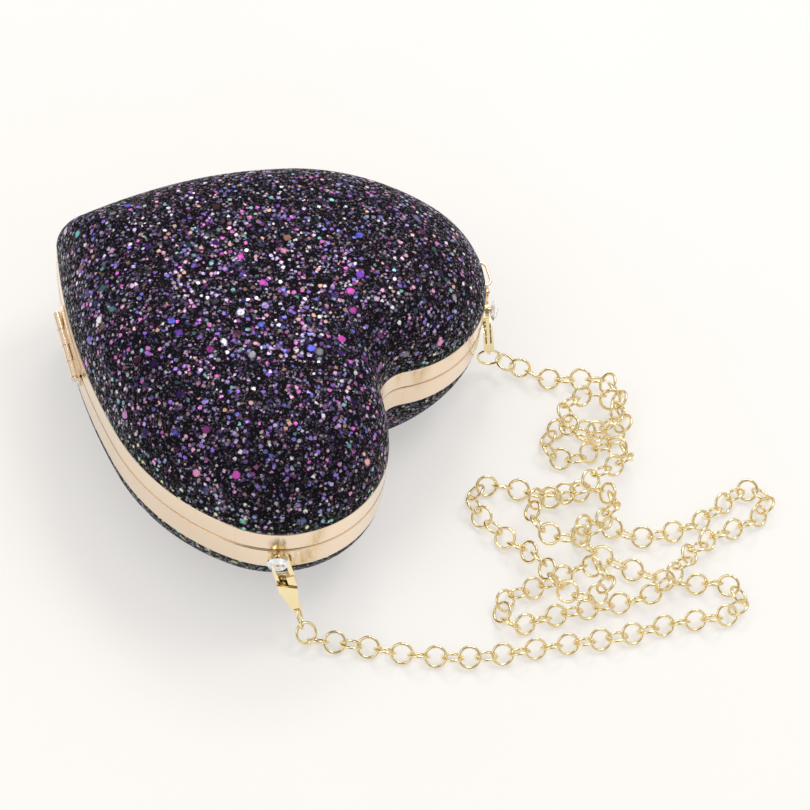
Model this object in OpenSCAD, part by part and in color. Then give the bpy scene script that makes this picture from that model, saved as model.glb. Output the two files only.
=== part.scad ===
// Heart shaped hard case purse with a metal frame, a snap closure and a link chain strap.
// Origin: on the ground under the middle of the case. The tip points to -Y and the cleft to +Y.

/* [Case] */
// Width of the case across both lobes
case_w = 165.4; // [120:0.2:220]
// Height of each half of the metal frame
band_h = 10.5; // [8:0.5:16]
// Height of each dome above its frame half
dome_h = 32.0; // [22:1:45]
// Thickness of the glitter fabric
cover_t = 0.8; // [0.4:0.1:1.2]
// Thickness of the moulded shell
shell_t = 1.8; // [1.2:0.1:2.4]
// Thickness of the lining
lining_t = 0.7; // [0.4:0.1:1.2]
// Depth of the flat that the case rests on
rest_cut = 0.8; // [0.4:0.1:1.5]

/* [Frame] */
// Thickness of the frame metal
wall_t = 1.0; // [0.8:0.1:1.4]
// Height of the step along the lower edge of the upper frame half
step_h = 1.4; // [0.8:0.1:2]
// Depth of that step
step_d = 0.7; // [0.3:0.1:0.8]
// How far the inner lip of the lid reaches into the base
lip_drop = 2.0; // [1:0.1:3]
// Thickness of the inner lip
lip_t = 0.8; // [0.6:0.1:1]
// Height of the shell ledge from the parting line
ledge_z = 4.0; // [3.5:0.1:5]
// Thickness of the shell ledge
ledge_t = 1.0; // [0.8:0.1:1.4]

/* [Hinge] */
// Length of the hinge barrel
hinge_len = 30; // [20:1:40]
// Outer radius of the knuckles
knuckle_r = 1.5; // [1.3:0.1:3]
// Radius of the hinge pin
pin_r = 0.7; // [0.6:0.1:1.2]
// Number of knuckles
knuckles = 4; // [2:2:8]
// Height of each hinge leaf
leaf_h = 6.0; // [4:0.5:8]
// Thickness of the hinge leaves
leaf_t = 0.8; // [0.6:0.1:1.2]

/* [Strap studs] */
// Direction in which the near stud faces
near_turn = 29; // [10:1:60]
// Direction in which the far stud faces
far_turn = 118; // [105:1:130]
// Radius of the stud neck
neck_r = 1.1; // [0.9:0.1:1.3]
// Length of the neck between the frame and the crystal
neck_len = 3.3; // [3:0.1:6]
// Outer radius of the crystal ring
crystal_r = 4.2; // [3:0.1:5]
// Thickness of the crystal ring
crystal_t = 2.0; // [1.6:0.1:3]
// Radius of the ball end
ball_r = 1.8; // [1.4:0.1:2]

/* [Clasps] */
// Radius of the opening in the hook
hook_r = 2.2; // [1.9:0.1:2.6]
// Width of the hook metal
hook_t = 1.7; // [1.4:0.1:2]
// Thickness of the hook
hook_thick = 1.4; // [1.2:0.1:2]
// Length of the straight part of the hook opening
hook_len = 8.5; // [6:0.5:12]
// Length of the clasp body behind the hook
clasp_len = 14.5; // [12:0.5:15]
// Thickness of the clasp body
clasp_thick = 4.0; // [3.6:0.1:5]
// Radius of the gate pivot pin
pivot_r = 0.6; // [0.5:0.05:0.7]

/* [Strap] */
// Mean radius of a chain link
link_r = 3.9; // [3:0.1:5]
// Radius of the link wire
link_wire_r = 0.6; // [0.5:0.05:0.7]
// Mean radius of a jump ring
jump_r = 4.5; // [4:0.05:5]
// Radius of the jump ring wire
jump_wire_r = 0.55; // [0.5:0.05:0.8]

/* [Hidden] */

gold = "#e8c9a0";
pale_gold = "#dcc077";
board_black = "#222222";
glitter_black = "#2a1f38";
satin = "#1c1a20";
crystal = "#eef2f5";

// Clearances
overrun = 1;
parting_gap = 0.1;
lip_gap = 0.4;
layer_gap = 0.3;
seat_gap = 0.05;
pin_gap = 0.04;
knuckle_gap = 0.2;
edge_cut = 0.3;

// Half outline from the tip to the cleft: arc radii as shares of the case width, and how far each turns
arc_shares = [0.0375, 1.4242, 0.5034, 0.2489];
arc_turns = [33.1, 21.9, 42.1, 131.4];
arc_steps = [3, 3, 5, 15];
cleft_steps = 5;

function sum_to(v, i) = i <= 0 ? 0 : v[i - 1] + sum_to(v, i - 1);
function headings(i) = sum_to(arc_turns, i);
function arc_r(i) = arc_shares[i] * case_w;
function dir(a) = [cos(a), sin(a)];
// Centre of each arc, and the point where it ends, with the tip at zero
function arc_start(i) = i == 0 ? [0, 0] : arc_end(i - 1);
function arc_centre(i) = arc_start(i) + arc_r(i) * dir(headings(i) + 90);
function arc_end(i) = arc_centre(i) + arc_r(i) * dir(headings(i + 1) - 90);
last_heading = headings(4);
cleft_r = arc_end(3).x / sin(last_heading - 180);
cleft_centre = arc_end(3) - cleft_r * dir(last_heading + 90);
lobe_centre = arc_centre(3);
raw_half_w = arc_centre(2).x + arc_r(2);
heart_scale = case_w / 2 / raw_half_w;
lobe_top = lobe_centre.y + arc_r(3);
function place(p) = heart_scale * (p - [0, lobe_top / 2]);

// Half outline, moved inwards by e
function half_arc(i, e) =
    let (c = place(arc_centre(i)), r = arc_r(i) * heart_scale - e)
    [for (k = [0 : arc_steps[i] - 1])
        c + r * dir(headings(i) - 90 + arc_turns[i] * k / arc_steps[i])];
function half_cleft(e) =
    let (c = place(cleft_centre), r = cleft_r * heart_scale + e, turn = last_heading - 180)
    [for (k = [0 : cleft_steps]) c + r * dir(last_heading + 90 - turn * k / cleft_steps)];
function half_heart(e) = concat([for (i = [0 : 3]) each half_arc(i, e)], half_cleft(e));
function heart(e) =
    let (h = half_heart(e), n = len(h))
    concat(h, [for (k = [n - 2 : -1 : 1]) [-h[k].x, h[k].y]]);

part_z = dome_h + band_h - rest_cut;

// Insets of the layers from the outer face of the frame
cover_e = wall_t + layer_gap;
shell_e = cover_e + cover_t + layer_gap;
lining_e = shell_e + shell_t + layer_gap;
ledge_e = lining_e - layer_gap;

// Frame halves: one profile carried round every arc of the heart. The runs stop a hair short of each
// other, and a key inside the wall joins them into one piece
run_gap = 0.02;
key_len = 1;
key_inset = 0.2;
key_margin = 2;
function run_r(i) = heart_scale * (i == 4 ? cleft_r : arc_r(i));
module arc_run(i, a0, a1) {
    c = place(i == 4 ? cleft_centre : arc_centre(i));
    trim = run_gap / 2 / run_r(i) * 180 / PI;
    translate([c.x, c.y, 0])
        rotate([0, 0, a0 + trim])
            rotate_extrude(angle = a1 - a0 - 2 * trim, $fn = 180)
                children();
}
module profile_at(r, points, sign) {
    polygon([for (p = points) [r - sign * p.x, p.y]]);
}
// Key across the joint at p, where the outline runs along heading
module run_key(p, heading, z0) {
    translate([p.x, p.y, z0 + key_margin])
        rotate([0, 0, heading])
            translate([-key_len / 2, key_inset, 0])
                cube([key_len, wall_t - 2 * key_inset, band_h - 2 * key_margin]);
}
module half_ring(points, z0) {
    for (i = [0 : 3]) {
        arc_run(i, headings(i) - 90, headings(i + 1) - 90)
            profile_at(run_r(i), points, 1);
        run_key(place(arc_end(i)), headings(i + 1), z0);
    }
    arc_run(4, 270, last_heading + 90)
        profile_at(run_r(4), points, -1);
}
module heart_ring(points, z0) {
    half_ring(points, z0);
    mirror([1, 0, 0])
        half_ring(points, z0);
    run_key(place(arc_start(0)), 0, z0);
    run_key(place(cleft_centre - [0, cleft_r]), 180, z0);
}

base_profile = [[0, edge_cut - band_h], [edge_cut, -band_h], [wall_t, -band_h],
                [wall_t, -ledge_z - ledge_t], [ledge_e, -ledge_z - ledge_t], [ledge_e, -ledge_z],
                [wall_t, -ledge_z], [wall_t, 0], [edge_cut, 0], [0, -edge_cut]];
lip_e = wall_t + lip_gap;
lid_profile = [[step_d, parting_gap], [step_d, step_h], [0, step_h], [0, band_h - edge_cut],
               [edge_cut, band_h], [wall_t, band_h], [wall_t, ledge_z + ledge_t],
               [ledge_e, ledge_z + ledge_t], [ledge_e, ledge_z], [lip_e + lip_t, ledge_z],
               [lip_e + lip_t, -lip_drop], [lip_e, -lip_drop], [lip_e, parting_gap]];

module base_frame() {
    color(gold)
        translate([0, 0, part_z])
            heart_ring(base_profile, -band_h);
}
module lid_frame() {
    color(gold)
        translate([0, 0, part_z])
            heart_ring(lid_profile, 0);
}

// Domes: rings of the heart that shrink and grow rounder towards the crown, steep at the frame
dome_centre_share = 0.034;
dome_round_share = 0.48;
dome_power = 4.7;
side_power = 1.6;
ring_shares = [1, 0.992, 0.965, 0.915, 0.84, 0.73, 0.57, 0.33];
// The cover swells out over the rim of the frame, up to this inset
swell_e = 0.1;
dome_c = [0, dome_centre_share * case_w];

function rise(rho) = pow(max(0, 1 - pow(rho, dome_power)), 1 / side_power);
function dome_point(p, rho, e) =
    let (d = p - dome_c, round_p = (dome_round_share * case_w - e) * d / norm(d))
    dome_c + rho * (rho * d + (1 - rho) * round_p);
function dome_ring(e, h, rho, cut) =
    let (z = max(band_h + seat_gap, min(band_h + h * rise(rho), band_h + dome_h - cut)))
    [for (p = heart(e)) let (q = dome_point(p, rho, e)) [q.x, q.y, z]];
function skirt_ring(e, z) = [for (p = heart(e)) [p.x, p.y, z]];
function dome_skin(e, h, z0, cut, swell, top_e) =
    concat([skirt_ring(e, z0)],
           swell == 0 ? [] : [skirt_ring(e, e == top_e ? (z0 + band_h) / 2 : band_h + seat_gap)],
           [for (s = ring_shares) dome_ring(top_e, h, s, cut)]);
function crown_point(h, cut) = [dome_c.x, dome_c.y, min(band_h + h, band_h + dome_h - cut)];

// Closed shell between two skins: rows of the outer skin, its crown, the inner skin and its crown
module dome_shell(e0, h0, e1, h1, z0, cut, swell = 0) {
    outer = dome_skin(e0, h0, z0, cut, swell, e0 - swell);
    inner = dome_skin(e1, h1, z0, cut + h0 - h1, swell, e1);
    rows = len(outer);
    n = len(outer[0]);
    points = concat([for (r = outer) each r], [for (r = inner) each r],
                    [crown_point(h0, cut)], [crown_point(h1, cut + h0 - h1)]);
    inner_at = rows * n;
    crown = 2 * rows * n;
    outer_faces = [for (r = [0 : rows - 2]) for (k = [0 : n - 1])
        let (a = r * n + k, b = r * n + (k + 1) % n)
        each [[a, a + n, b], [b, a + n, b + n]]];
    inner_faces = [for (r = [0 : rows - 2]) for (k = [0 : n - 1])
        let (a = inner_at + r * n + k, b = inner_at + r * n + (k + 1) % n)
        each [[a, b, a + n], [b, b + n, a + n]]];
    rim_faces = [for (k = [0 : n - 1])
        let (a = k, b = (k + 1) % n)
        each [[a, b, inner_at + a], [b, inner_at + b, inner_at + a]]];
    crown_faces = [for (k = [0 : n - 1])
        let (a = (rows - 1) * n + k, b = (rows - 1) * n + (k + 1) % n)
        each [[a, crown, b], [inner_at + a, inner_at + b, crown + 1]]];
    polyhedron(points, concat(outer_faces, inner_faces, rim_faces, crown_faces));
}
cover_h = dome_h;
shell_h = cover_h - cover_t - layer_gap;
lining_h = shell_h - shell_t - layer_gap;
skirt_z = ledge_z + ledge_t + layer_gap;
module cover_form(cut) {
    dome_shell(cover_e, cover_h, cover_e + cover_t, cover_h - cover_t, skirt_z, cut, cover_e - swell_e);
}
module shell_form(cut) {
    dome_shell(shell_e, shell_h, shell_e + shell_t, shell_h - shell_t, skirt_z,
               cut + cover_h - shell_h);
}
lining_rim_z = 0.6;
module lining_form(cut) {
    dome_shell(lining_e, lining_h, lining_e + lining_t, lining_h - lining_t, lining_rim_z,
               cut + cover_h - lining_h);
}
module in_lid() {
    translate([0, 0, part_z])
        children();
}
module in_base() {
    translate([0, 0, part_z])
        mirror([0, 0, 1])
            children();
}
module base_cover() {
    color(glitter_black)
        in_base()
            cover_form(rest_cut);
}
module base_shell() {
    color(board_black)
        in_base()
            shell_form(rest_cut);
}
module base_lining() {
    color(satin)
        in_base()
            lining_form(rest_cut);
}
module lid_cover() {
    color(glitter_black)
        in_lid()
            cover_form(0);
}
module lid_shell() {
    color(board_black)
        in_lid()
            shell_form(0);
}
module lid_lining() {
    color(satin)
        in_lid()
            lining_form(0);
}

// Hinge on the straight side near the tip
hinge_turn_share = 0.447;
hinge_heading = headings(1) + hinge_turn_share * arc_turns[1];
side_centre = place(arc_centre(1));
side_r = arc_r(1) * heart_scale;
axis_off = knuckle_r + layer_gap;
hinge_out = hinge_heading - 90;
axis_point = side_centre + (side_r + axis_off) * dir(hinge_out);
knuckle_len = hinge_len / knuckles;
bore_r = pin_r + pin_gap;

// Local frame of the hinge: X along the axis, Y towards the case
module at_hinge() {
    translate([axis_point.x, axis_point.y, part_z])
        rotate([0, 0, hinge_heading])
            children();
}
module along_axis(x, l, r) {
    translate([x, 0, 0])
        rotate([0, 90, 0])
            cylinder(h = l, r = r, $fn = 64);
}
module knuckle_set(first, grow) {
    for (k = [first : 2 : knuckles - 1])
        along_axis(k * knuckle_len - hinge_len / 2 + knuckle_gap / 2 - grow,
                   knuckle_len - knuckle_gap + 2 * grow, knuckle_r + grow);
}
// Leaf along the frame, bent like it, on the side of sign
module leaf_plate(sign) {
    span = (hinge_len - knuckle_gap) / side_r * 180 / PI;
    z0 = sign > 0 ? step_h : -leaf_h;
    translate([side_centre.x, side_centre.y, part_z])
        rotate([0, 0, hinge_out - span / 2])
            rotate_extrude(angle = span, $fn = 180)
                translate([side_r + seat_gap, z0])
                    square([leaf_t, leaf_h - (sign > 0 ? step_h : edge_cut)]);
}
// Curl of the leaf: a strip from the plate to the barrel
module leaf_neck(sign, first) {
    for (k = [first : 2 : knuckles - 1])
        translate([k * knuckle_len - hinge_len / 2 + knuckle_gap / 2,
                   axis_off - seat_gap - leaf_t, sign > 0 ? 0 : -leaf_h / 2])
            cube([knuckle_len - knuckle_gap, leaf_t, leaf_h / 2]);
}
module hinge_leaf(sign, first) {
    color(gold)
        difference() {
            union() {
                leaf_plate(sign);
                at_hinge() {
                    knuckle_set(first, 0);
                    leaf_neck(sign, first);
                }
            }
            at_hinge() {
                along_axis(-hinge_len, 2 * hinge_len, bore_r);
                knuckle_set(1 - first, knuckle_gap);
            }
        }
}
module base_hinge_leaf() {
    hinge_leaf(-1, 0);
}
module lid_hinge_leaf() {
    hinge_leaf(1, 1);
}
pin_head_r = 1.3;
pin_head_t = 0.8;
module hinge_pin() {
    color(gold)
        at_hinge() {
            along_axis(-hinge_len / 2 - pin_head_t, hinge_len + 2 * pin_head_t, pin_r);
            for (side = [-1, 1])
                along_axis(side * (hinge_len + pin_head_t) / 2 - pin_head_t / 2, pin_head_t, pin_head_r);
        }
}

// Studs on the lower frame half, at the angle that each faces
stud_drop = 2.1;
stud_z = part_z - stud_drop;
foot_r = 1.8;
foot_t = 0.4;
lobe_r = arc_r(3) * heart_scale;
near_lobe = place(lobe_centre);
far_lobe = [-near_lobe.x, near_lobe.y];
near_stud = near_lobe + (lobe_r + seat_gap) * dir(near_turn);
far_stud = far_lobe + (lobe_r + seat_gap) * dir(far_turn);
crystal_hole_r = neck_r + seat_gap;
ball_x = neck_len + crystal_t / 2;

module at_stud(p, turn) {
    translate([p.x, p.y, stud_z])
        rotate([0, 0, turn])
            children();
}
module stud_form() {
    along_axis(0, foot_t, foot_r);
    along_axis(0, ball_x, neck_r);
    translate([ball_x, 0, 0])
        sphere(r = ball_r, $fn = 48);
}
module strap_studs() {
    color(gold) {
        at_stud(near_stud, near_turn)
            stud_form();
        at_stud(far_stud, far_turn)
            stud_form();
    }
}
crystal_sides = 8;
facet_share = 0.72;
// Cut glass ring: an octagon with both rims bevelled
module crystal_form() {
    difference() {
        translate([neck_len, 0, 0])
            rotate([0, 90, 0])
                for (half = [0, 1])
                    translate([0, 0, half * crystal_t / 2])
                        cylinder(h = crystal_t / 2,
                                 r1 = crystal_r * (half == 0 ? facet_share : 1),
                                 r2 = crystal_r * (half == 0 ? 1 : facet_share),
                                 $fn = crystal_sides);
        along_axis(neck_len - overrun, crystal_t + 2 * overrun, crystal_hole_r);
        translate([ball_x, 0, 0])
            sphere(r = ball_r + seat_gap, $fn = 48);
    }
}
module crystal_rings() {
    color(crystal) {
        at_stud(near_stud, near_turn)
            crystal_form();
        at_stud(far_stud, far_turn)
            crystal_form();
    }
}

// Snap closure across from the hinge: a wire pull on the lid over a beaded tab on the base
// How far round the lobe the catch sits from the far stud
catch_away = 8.974;
catch_turn = far_turn + catch_away / lobe_r * 180 / PI;
catch_p = far_lobe + (lobe_r + seat_gap) * dir(catch_turn);
catch_w = 4.4;
catch_t = 1.0;
catch_h = 7.6;
catch_reach = 2.7;
catch_stand = 1.6;
catch_side_gap = 0.4;
bead_r = 0.9;
module at_catch() {
    translate([catch_p.x, catch_p.y, part_z])
        rotate([0, 0, catch_turn])
            mirror([0, 1, 0])
                children();
}
module catch_tab() {
    color(gold)
        at_catch()
            translate([0, catch_side_gap / 2, 0]) {
                translate([0, 0, -catch_h])
                    cube([catch_stand, catch_w, catch_h - edge_cut - overrun]);
                translate([catch_stand - catch_t / 2, 0, -catch_h + catch_t])
                    cube([catch_t, catch_w, catch_h - catch_t + catch_reach]);
                translate([catch_stand, catch_w / 2, catch_reach])
                    rotate([90, 0, 0])
                        translate([0, 0, -catch_w / 2])
                            cylinder(h = catch_w, r = bead_r, $fn = 48);
            }
}
loop_wire_r = 0.625;
loop_w = 12.0;
loop_mid = -3.0;
loop_reach = 4.375;
loop_bend = 2.5;
loop_z = 4.6;
// Bent wire pull: two legs, two bends and a bar, level with the ground
module catch_loop() {
    half = loop_w / 2 - loop_wire_r;
    bar_x = loop_reach - loop_wire_r;
    color(gold)
        at_catch()
            translate([0, 0, loop_z]) {
                for (side = [-1, 1]) {
                    y = loop_mid + side * half;
                    near_y = abs(y) - loop_wire_r;
                    wall_x = sqrt(lobe_r * lobe_r - near_y * near_y) - lobe_r;
                    translate([bar_x - loop_bend, y, 0])
                        rotate([0, -90, 0])
                            cylinder(h = bar_x - loop_bend - wall_x, r = loop_wire_r, $fn = 32);
                    translate([bar_x - loop_bend, loop_mid + side * (half - loop_bend), 0])
                        rotate([0, 0, side > 0 ? 0 : -90])
                            rotate_extrude(angle = 90, $fn = 64)
                                translate([loop_bend, 0])
                                    circle(r = loop_wire_r, $fn = 32);
                }
                translate([bar_x, loop_mid - half + loop_bend, 0])
                    rotate([-90, 0, 0])
                        cylinder(h = 2 * (half - loop_bend), r = loop_wire_r, $fn = 32);
            }
}

// Spring clasps: hook, body and tail ring in one outline, X from the stud to the tail
hook_out_r = hook_r + hook_t;
hook_c = hook_r - neck_r - seat_gap;
body_x = hook_c + hook_len;
tail_r = 1.9;
tail_hole_r = 1.0;
tail_neck = 2.0;
tail_x = body_x + clasp_len + tail_neck;
tail_flat_share = 0.6;
pivot_back = 4.6;
pivot_x = body_x + pivot_back;
pivot_y = -1.7;
gate_t = 1.2;
gate_w = 1.3;
slot_t = 2.4;
nose_len = 0.4;
nose_x = hook_c + nose_len;
gate_boss_r = 1.4;
thumb_x = 3.4;
thumb_out = 0.6;
thumb_t = 1.1;
slot_past = 0.6;
// The front wall of the body is cut on a slant, from the gate side down to the far side
front_cut_near = 1.6;
front_cut_far = 6.4;
body_half_w = 3.5;
body_end_w = 1.4;

module clasp_outline() {
    difference() {
        union() {
            translate([hook_c, 0])
                circle(r = hook_out_r, $fn = 96);
            translate([hook_c, -hook_out_r])
                square([hook_len, 2 * hook_out_r]);
        }
        translate([hook_c, 0])
            circle(r = hook_r, $fn = 96);
        translate([hook_c, -hook_r])
            square([hook_len + overrun, 2 * hook_r]);
        translate([nose_x, -hook_out_r - overrun])
            square([hook_len + overrun, hook_out_r + overrun]);
    }
}
module body_outline() {
    polygon([[body_x, -body_half_w], [body_x + clasp_len / 3, -body_half_w],
             [tail_x, -body_end_w], [tail_x, body_end_w],
             [body_x + clasp_len / 3, body_half_w], [body_x, body_half_w]]);
}
module flat(t) {
    translate([0, 0, -t / 2])
        linear_extrude(t)
            children();
}
module clasp_body() {
    difference() {
        union() {
            flat(hook_thick)
                clasp_outline();
            flat(clasp_thick)
                body_outline();
            flat(hook_thick)
                translate([tail_x, 0])
                    circle(r = tail_r, $fn = 64);
        }
        flat(slot_t)
            translate([body_x - overrun, -body_half_w - overrun])
                square([overrun + pivot_back + thumb_x + slot_past, body_half_w + overrun + slot_past]);
        translate([0, 0, slot_t / 2])
            linear_extrude(clasp_thick)
                polygon([[body_x - overrun, -body_half_w - overrun],
                         [body_x + front_cut_near, -body_half_w - overrun],
                         [body_x + front_cut_far, body_half_w + overrun],
                         [body_x - overrun, body_half_w + overrun]]);
        flat(clasp_thick + overrun)
            translate([tail_x, 0])
                circle(r = tail_hole_r, $fn = 48);
        flat(clasp_thick + overrun)
            translate([pivot_x, pivot_y])
                circle(r = pivot_r, $fn = 48);
        for (side = [-1, 1])
            translate([0, 0, side * (hook_thick + clasp_thick) / 4])
                flat((clasp_thick - hook_thick) / 2 + seat_gap)
                    translate([tail_x - tail_r * tail_flat_share, -tail_r])
                        square([2 * tail_r, 2 * tail_r]);
    }
}
module clasp_gate() {
    difference() {
        flat(gate_t) {
            translate([nose_x + layer_gap, -hook_r - gate_w])
                square([pivot_x - nose_x, gate_w]);
            translate([pivot_x, pivot_y])
                circle(r = gate_boss_r, $fn = 48);
            polygon([[pivot_x - gate_boss_r, -hook_r - gate_w],
                     [pivot_x + thumb_x, -body_half_w - thumb_out],
                     [pivot_x + thumb_x, -body_half_w - thumb_out + thumb_t],
                     [pivot_x + gate_boss_r, pivot_y]]);
        }
        flat(gate_t + overrun)
            translate([pivot_x, pivot_y])
                circle(r = pivot_r + pin_gap, $fn = 48);
    }
}
module clasp_pin() {
    translate([pivot_x, pivot_y, -clasp_thick / 2])
        cylinder(h = clasp_thick, r = pivot_r, $fn = 48);
}
spring_wire_r = 0.15;
spring_leg = 2.4;
leg_share = 0.8;
// One turn round the pin beside the gate, with a leg along the slot
module clasp_spring() {
    turn_r = pivot_r + pin_gap + 2 * spring_wire_r;
    translate([pivot_x, pivot_y, (gate_t + slot_t) / 4]) {
        rotate_extrude($fn = 64)
            translate([turn_r, 0])
                circle(r = spring_wire_r, $fn = 24);
        translate([turn_r, 0, 0])
            rotate([0, 90, 0])
                cylinder(h = spring_leg, r = spring_wire_r * leg_share, $fn = 24);
    }
}
// How each clasp hangs: lean away from the case, and tilt along it
near_lean = 14;
near_tilt = 18;
far_lean = 8;
far_tilt = 0;
// Each hook hangs nearer the foot of the neck than the crystal
hang_share = 0.42;
hang_x = foot_t + hang_share * (neck_len - foot_t);
// A leaning hook rides higher, so that its rim stays clear of the neck
function lift(lean) = (neck_r + seat_gap + hook_thick / 2 * sin(lean)) / cos(lean) - neck_r - seat_gap;
module at_clasp(p, turn, tilt, lean) {
    at_stud(p, turn)
        translate([hang_x, 0, 0])
            rotate([0, -lean, 0])
                rotate([tilt, 0, 0])
                    rotate([0, 90, 0])
                        translate([-lift(lean), 0, 0])
                            children();
}
module at_near_clasp() {
    at_clasp(near_stud, near_turn, near_tilt, near_lean)
        children();
}
module at_far_clasp() {
    at_clasp(far_stud, far_turn, far_tilt, far_lean)
        children();
}
module near_clasp_body() {
    color(pale_gold)
        at_near_clasp()
            clasp_body();
}
module near_clasp_gate() {
    color(pale_gold)
        at_near_clasp()
            clasp_gate();
}
module near_clasp_pin() {
    color(gold)
        at_near_clasp()
            clasp_pin();
}
module near_clasp_spring() {
    color("silver")
        at_near_clasp()
            clasp_spring();
}
module far_clasp_body() {
    color(pale_gold)
        at_far_clasp()
            clasp_body();
}
module far_clasp_gate() {
    color(pale_gold)
        at_far_clasp()
            clasp_gate();
}
module far_clasp_pin() {
    color(gold)
        at_far_clasp()
            clasp_pin();
}
module far_clasp_spring() {
    color("silver")
        at_far_clasp()
            clasp_spring();
}

// Rings of round wire
module ring(r, wire_r) {
    rotate_extrude($fn = 48)
        translate([r, 0])
            circle(r = wire_r, $fn = 24);
}
jump_x = tail_x + tail_hole_r - jump_wire_r - seat_gap + jump_r;
module jump_form() {
    translate([jump_x, 0, 0])
        rotate([90, 0, 0])
            ring(jump_r, jump_wire_r);
}
module jump_rings() {
    color(pale_gold) {
        at_near_clasp()
            jump_form();
        at_far_clasp()
            jump_form();
    }
}

// Middle of each jump ring, from which the end link of the strap pulls towards the next point
function turned(v, a) = [v.x * cos(a) - v.y * sin(a), v.x * sin(a) + v.y * cos(a), v.z];
function clasp_dir(turn, tilt, lean) =
    turned([cos(tilt) * sin(lean), sin(tilt), -cos(tilt) * cos(lean)], turn);
function ring_centre(p, turn, tilt, lean) =
    [p.x, p.y, stud_z] + hang_x * turned([1, 0, 0], turn)
    + (jump_x - lift(lean)) * clasp_dir(turn, tilt, lean);

// Route of the strap over the ground, from the near clasp to the far one
strap_points = [[84, 76, 5], [79, 86, 4], [75, 98, 4], [70, 113, 4], [59, 134, 4], [42, 155, 4],
    [25, 176, 4], [10, 191, 4], [2, 201, 4], [-6, 210, 4], [-15, 209, 4], [-16, 200, 4],
    [-9, 190, 4], [-6, 180, 4], [-4, 165, 4], [-4, 155, 4], [-7, 145, 4], [-15, 143, 4],
    [-18, 152, 4], [-18, 163, 4], [-26, 173, 4], [-37, 182, 4], [-50, 187, 4], [-60, 191, 4],
    [-61, 200, 4], [-50, 201, 4], [-32, 189, 5], [-18, 185, 9], [-6, 184, 12], [4, 180, 8],
    [10, 172, 4], [22, 158, 4], [33, 147, 4], [41, 139, 4], [34, 131, 4], [24, 137, 4],
    [16, 144, 4], [8, 149, 6], [5, 157, 11], [11, 164, 12], [20, 161, 12], [22, 151, 12],
    [17, 142, 12], [11, 134, 9], [8, 124, 4], [4, 112, 4], [0, 103, 4], [-9, 101, 4],
    [-14, 109, 4], [-17, 121, 4], [-20, 131, 4], [-28, 136, 4], [-31, 144, 5], [-27, 150, 9],
    [-18, 151, 12], [-8, 149, 12], [0, 143, 12], [2, 133, 12], [-4, 125, 12], [-12, 124, 12],
    [-17, 132, 12], [-24, 138, 12], [-34, 140, 12], [-43, 146, 11], [-52, 144, 7], [-50, 134, 4],
    [-40, 129, 4], [-36, 120, 4], [-44, 114, 4], [-53, 119, 4], [-54, 129, 4], [-59, 138, 4],
    [-69, 135, 6], [-68, 124, 10], [-58, 116, 12], [-49, 118, 12], [-46, 126, 12], [-52, 133, 12],
    [-61, 135, 13], [-71, 131, 13], [-77, 121, 7], [-73, 110, 4], [-68, 100, 4], [-68, 91, 5]];
link_slack = 0.3;
link_pitch = 2 * link_r - 2 * link_wire_r - link_slack;
// The end link passes round the ring's wire, so its own end lies behind that wire
hang_gap = 0.2;
hang_back = jump_wire_r + link_wire_r + hang_gap - (link_r - link_pitch / 2);
function hang_point(centre, next) =
    centre + (jump_r - hang_back) * (next - centre) / norm(next - centre);
last_point = strap_points[len(strap_points) - 1];
near_end = hang_point(ring_centre(near_stud, near_turn, near_tilt, near_lean), strap_points[0]);
far_end = hang_point(ring_centre(far_stud, far_turn, far_tilt, far_lean), last_point);
route = concat([near_end], strap_points, [far_end]);

spline_steps = 8;
function spline_point(a, b, c, d, t) =
    0.5 * (2 * b + (c - a) * t + (2 * a - 5 * b + 4 * c - d) * t * t
           + (3 * b - a - 3 * c + d) * t * t * t);
function clip_i(i) = max(0, min(len(route) - 1, i));
fine_route = concat([for (i = [0 : len(route) - 2]) for (k = [0 : spline_steps - 1])
    spline_point(route[clip_i(i - 1)], route[i], route[i + 1], route[clip_i(i + 2)],
                 k / spline_steps)], [route[len(route) - 1]]);
function run_lengths(i, total) =
    i >= len(fine_route) ? [] :
    let (s = i == 0 ? 0 : total + norm(fine_route[i] - fine_route[i - 1]))
    concat([s], run_lengths(i + 1, s));
route_s = run_lengths(0, 0);
strap_len = route_s[len(route_s) - 1];
link_count = ceil(strap_len / link_pitch);
axis_tables = [for (a = [0 : 2]) [for (i = [0 : len(fine_route) - 1]) [route_s[i], fine_route[i][a]]]];
function route_at(s) = [for (a = [0 : 2]) lookup(s, axis_tables[a])];

// Links lean to both sides in turn, and lie flat where they hang on the jump rings
roll_jitter = 8;
jitter_step = 137;
lean = 45;
flat_links = 1.5;
end_sign = link_count % 2 == 1 ? -1 : 1;
function link_roll(i) =
    lean + 90 * i + roll_jitter * sin(i * jitter_step)
    - lean * max(0, 1 - i / flat_links)
    + lean * end_sign * max(0, 1 - (link_count - 1 - i) / flat_links);
module strap_link(i) {
    p = route_at(i * strap_len / link_count);
    q = route_at((i + 1) * strap_len / link_count);
    d = q - p;
    translate((p + q) / 2)
        rotate([0, -asin(d.z / norm(d)), atan2(d.y, d.x)])
            rotate([link_roll(i), 0, 0])
                ring(link_r, link_wire_r);
}
strap_cut_shares = [0, 0.22, 0.5, 0.8, 1];
module strap_run(k) {
    color(pale_gold)
        for (i = [floor(strap_cut_shares[k] * link_count) :
                  floor(strap_cut_shares[k + 1] * link_count) - 1])
            strap_link(i);
}
module strap_near_run() {
    strap_run(0);
}
module strap_right_loops() {
    strap_run(1);
}
module strap_left_loops() {
    strap_run(2);
}
module strap_far_run() {
    strap_run(3);
}

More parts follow.
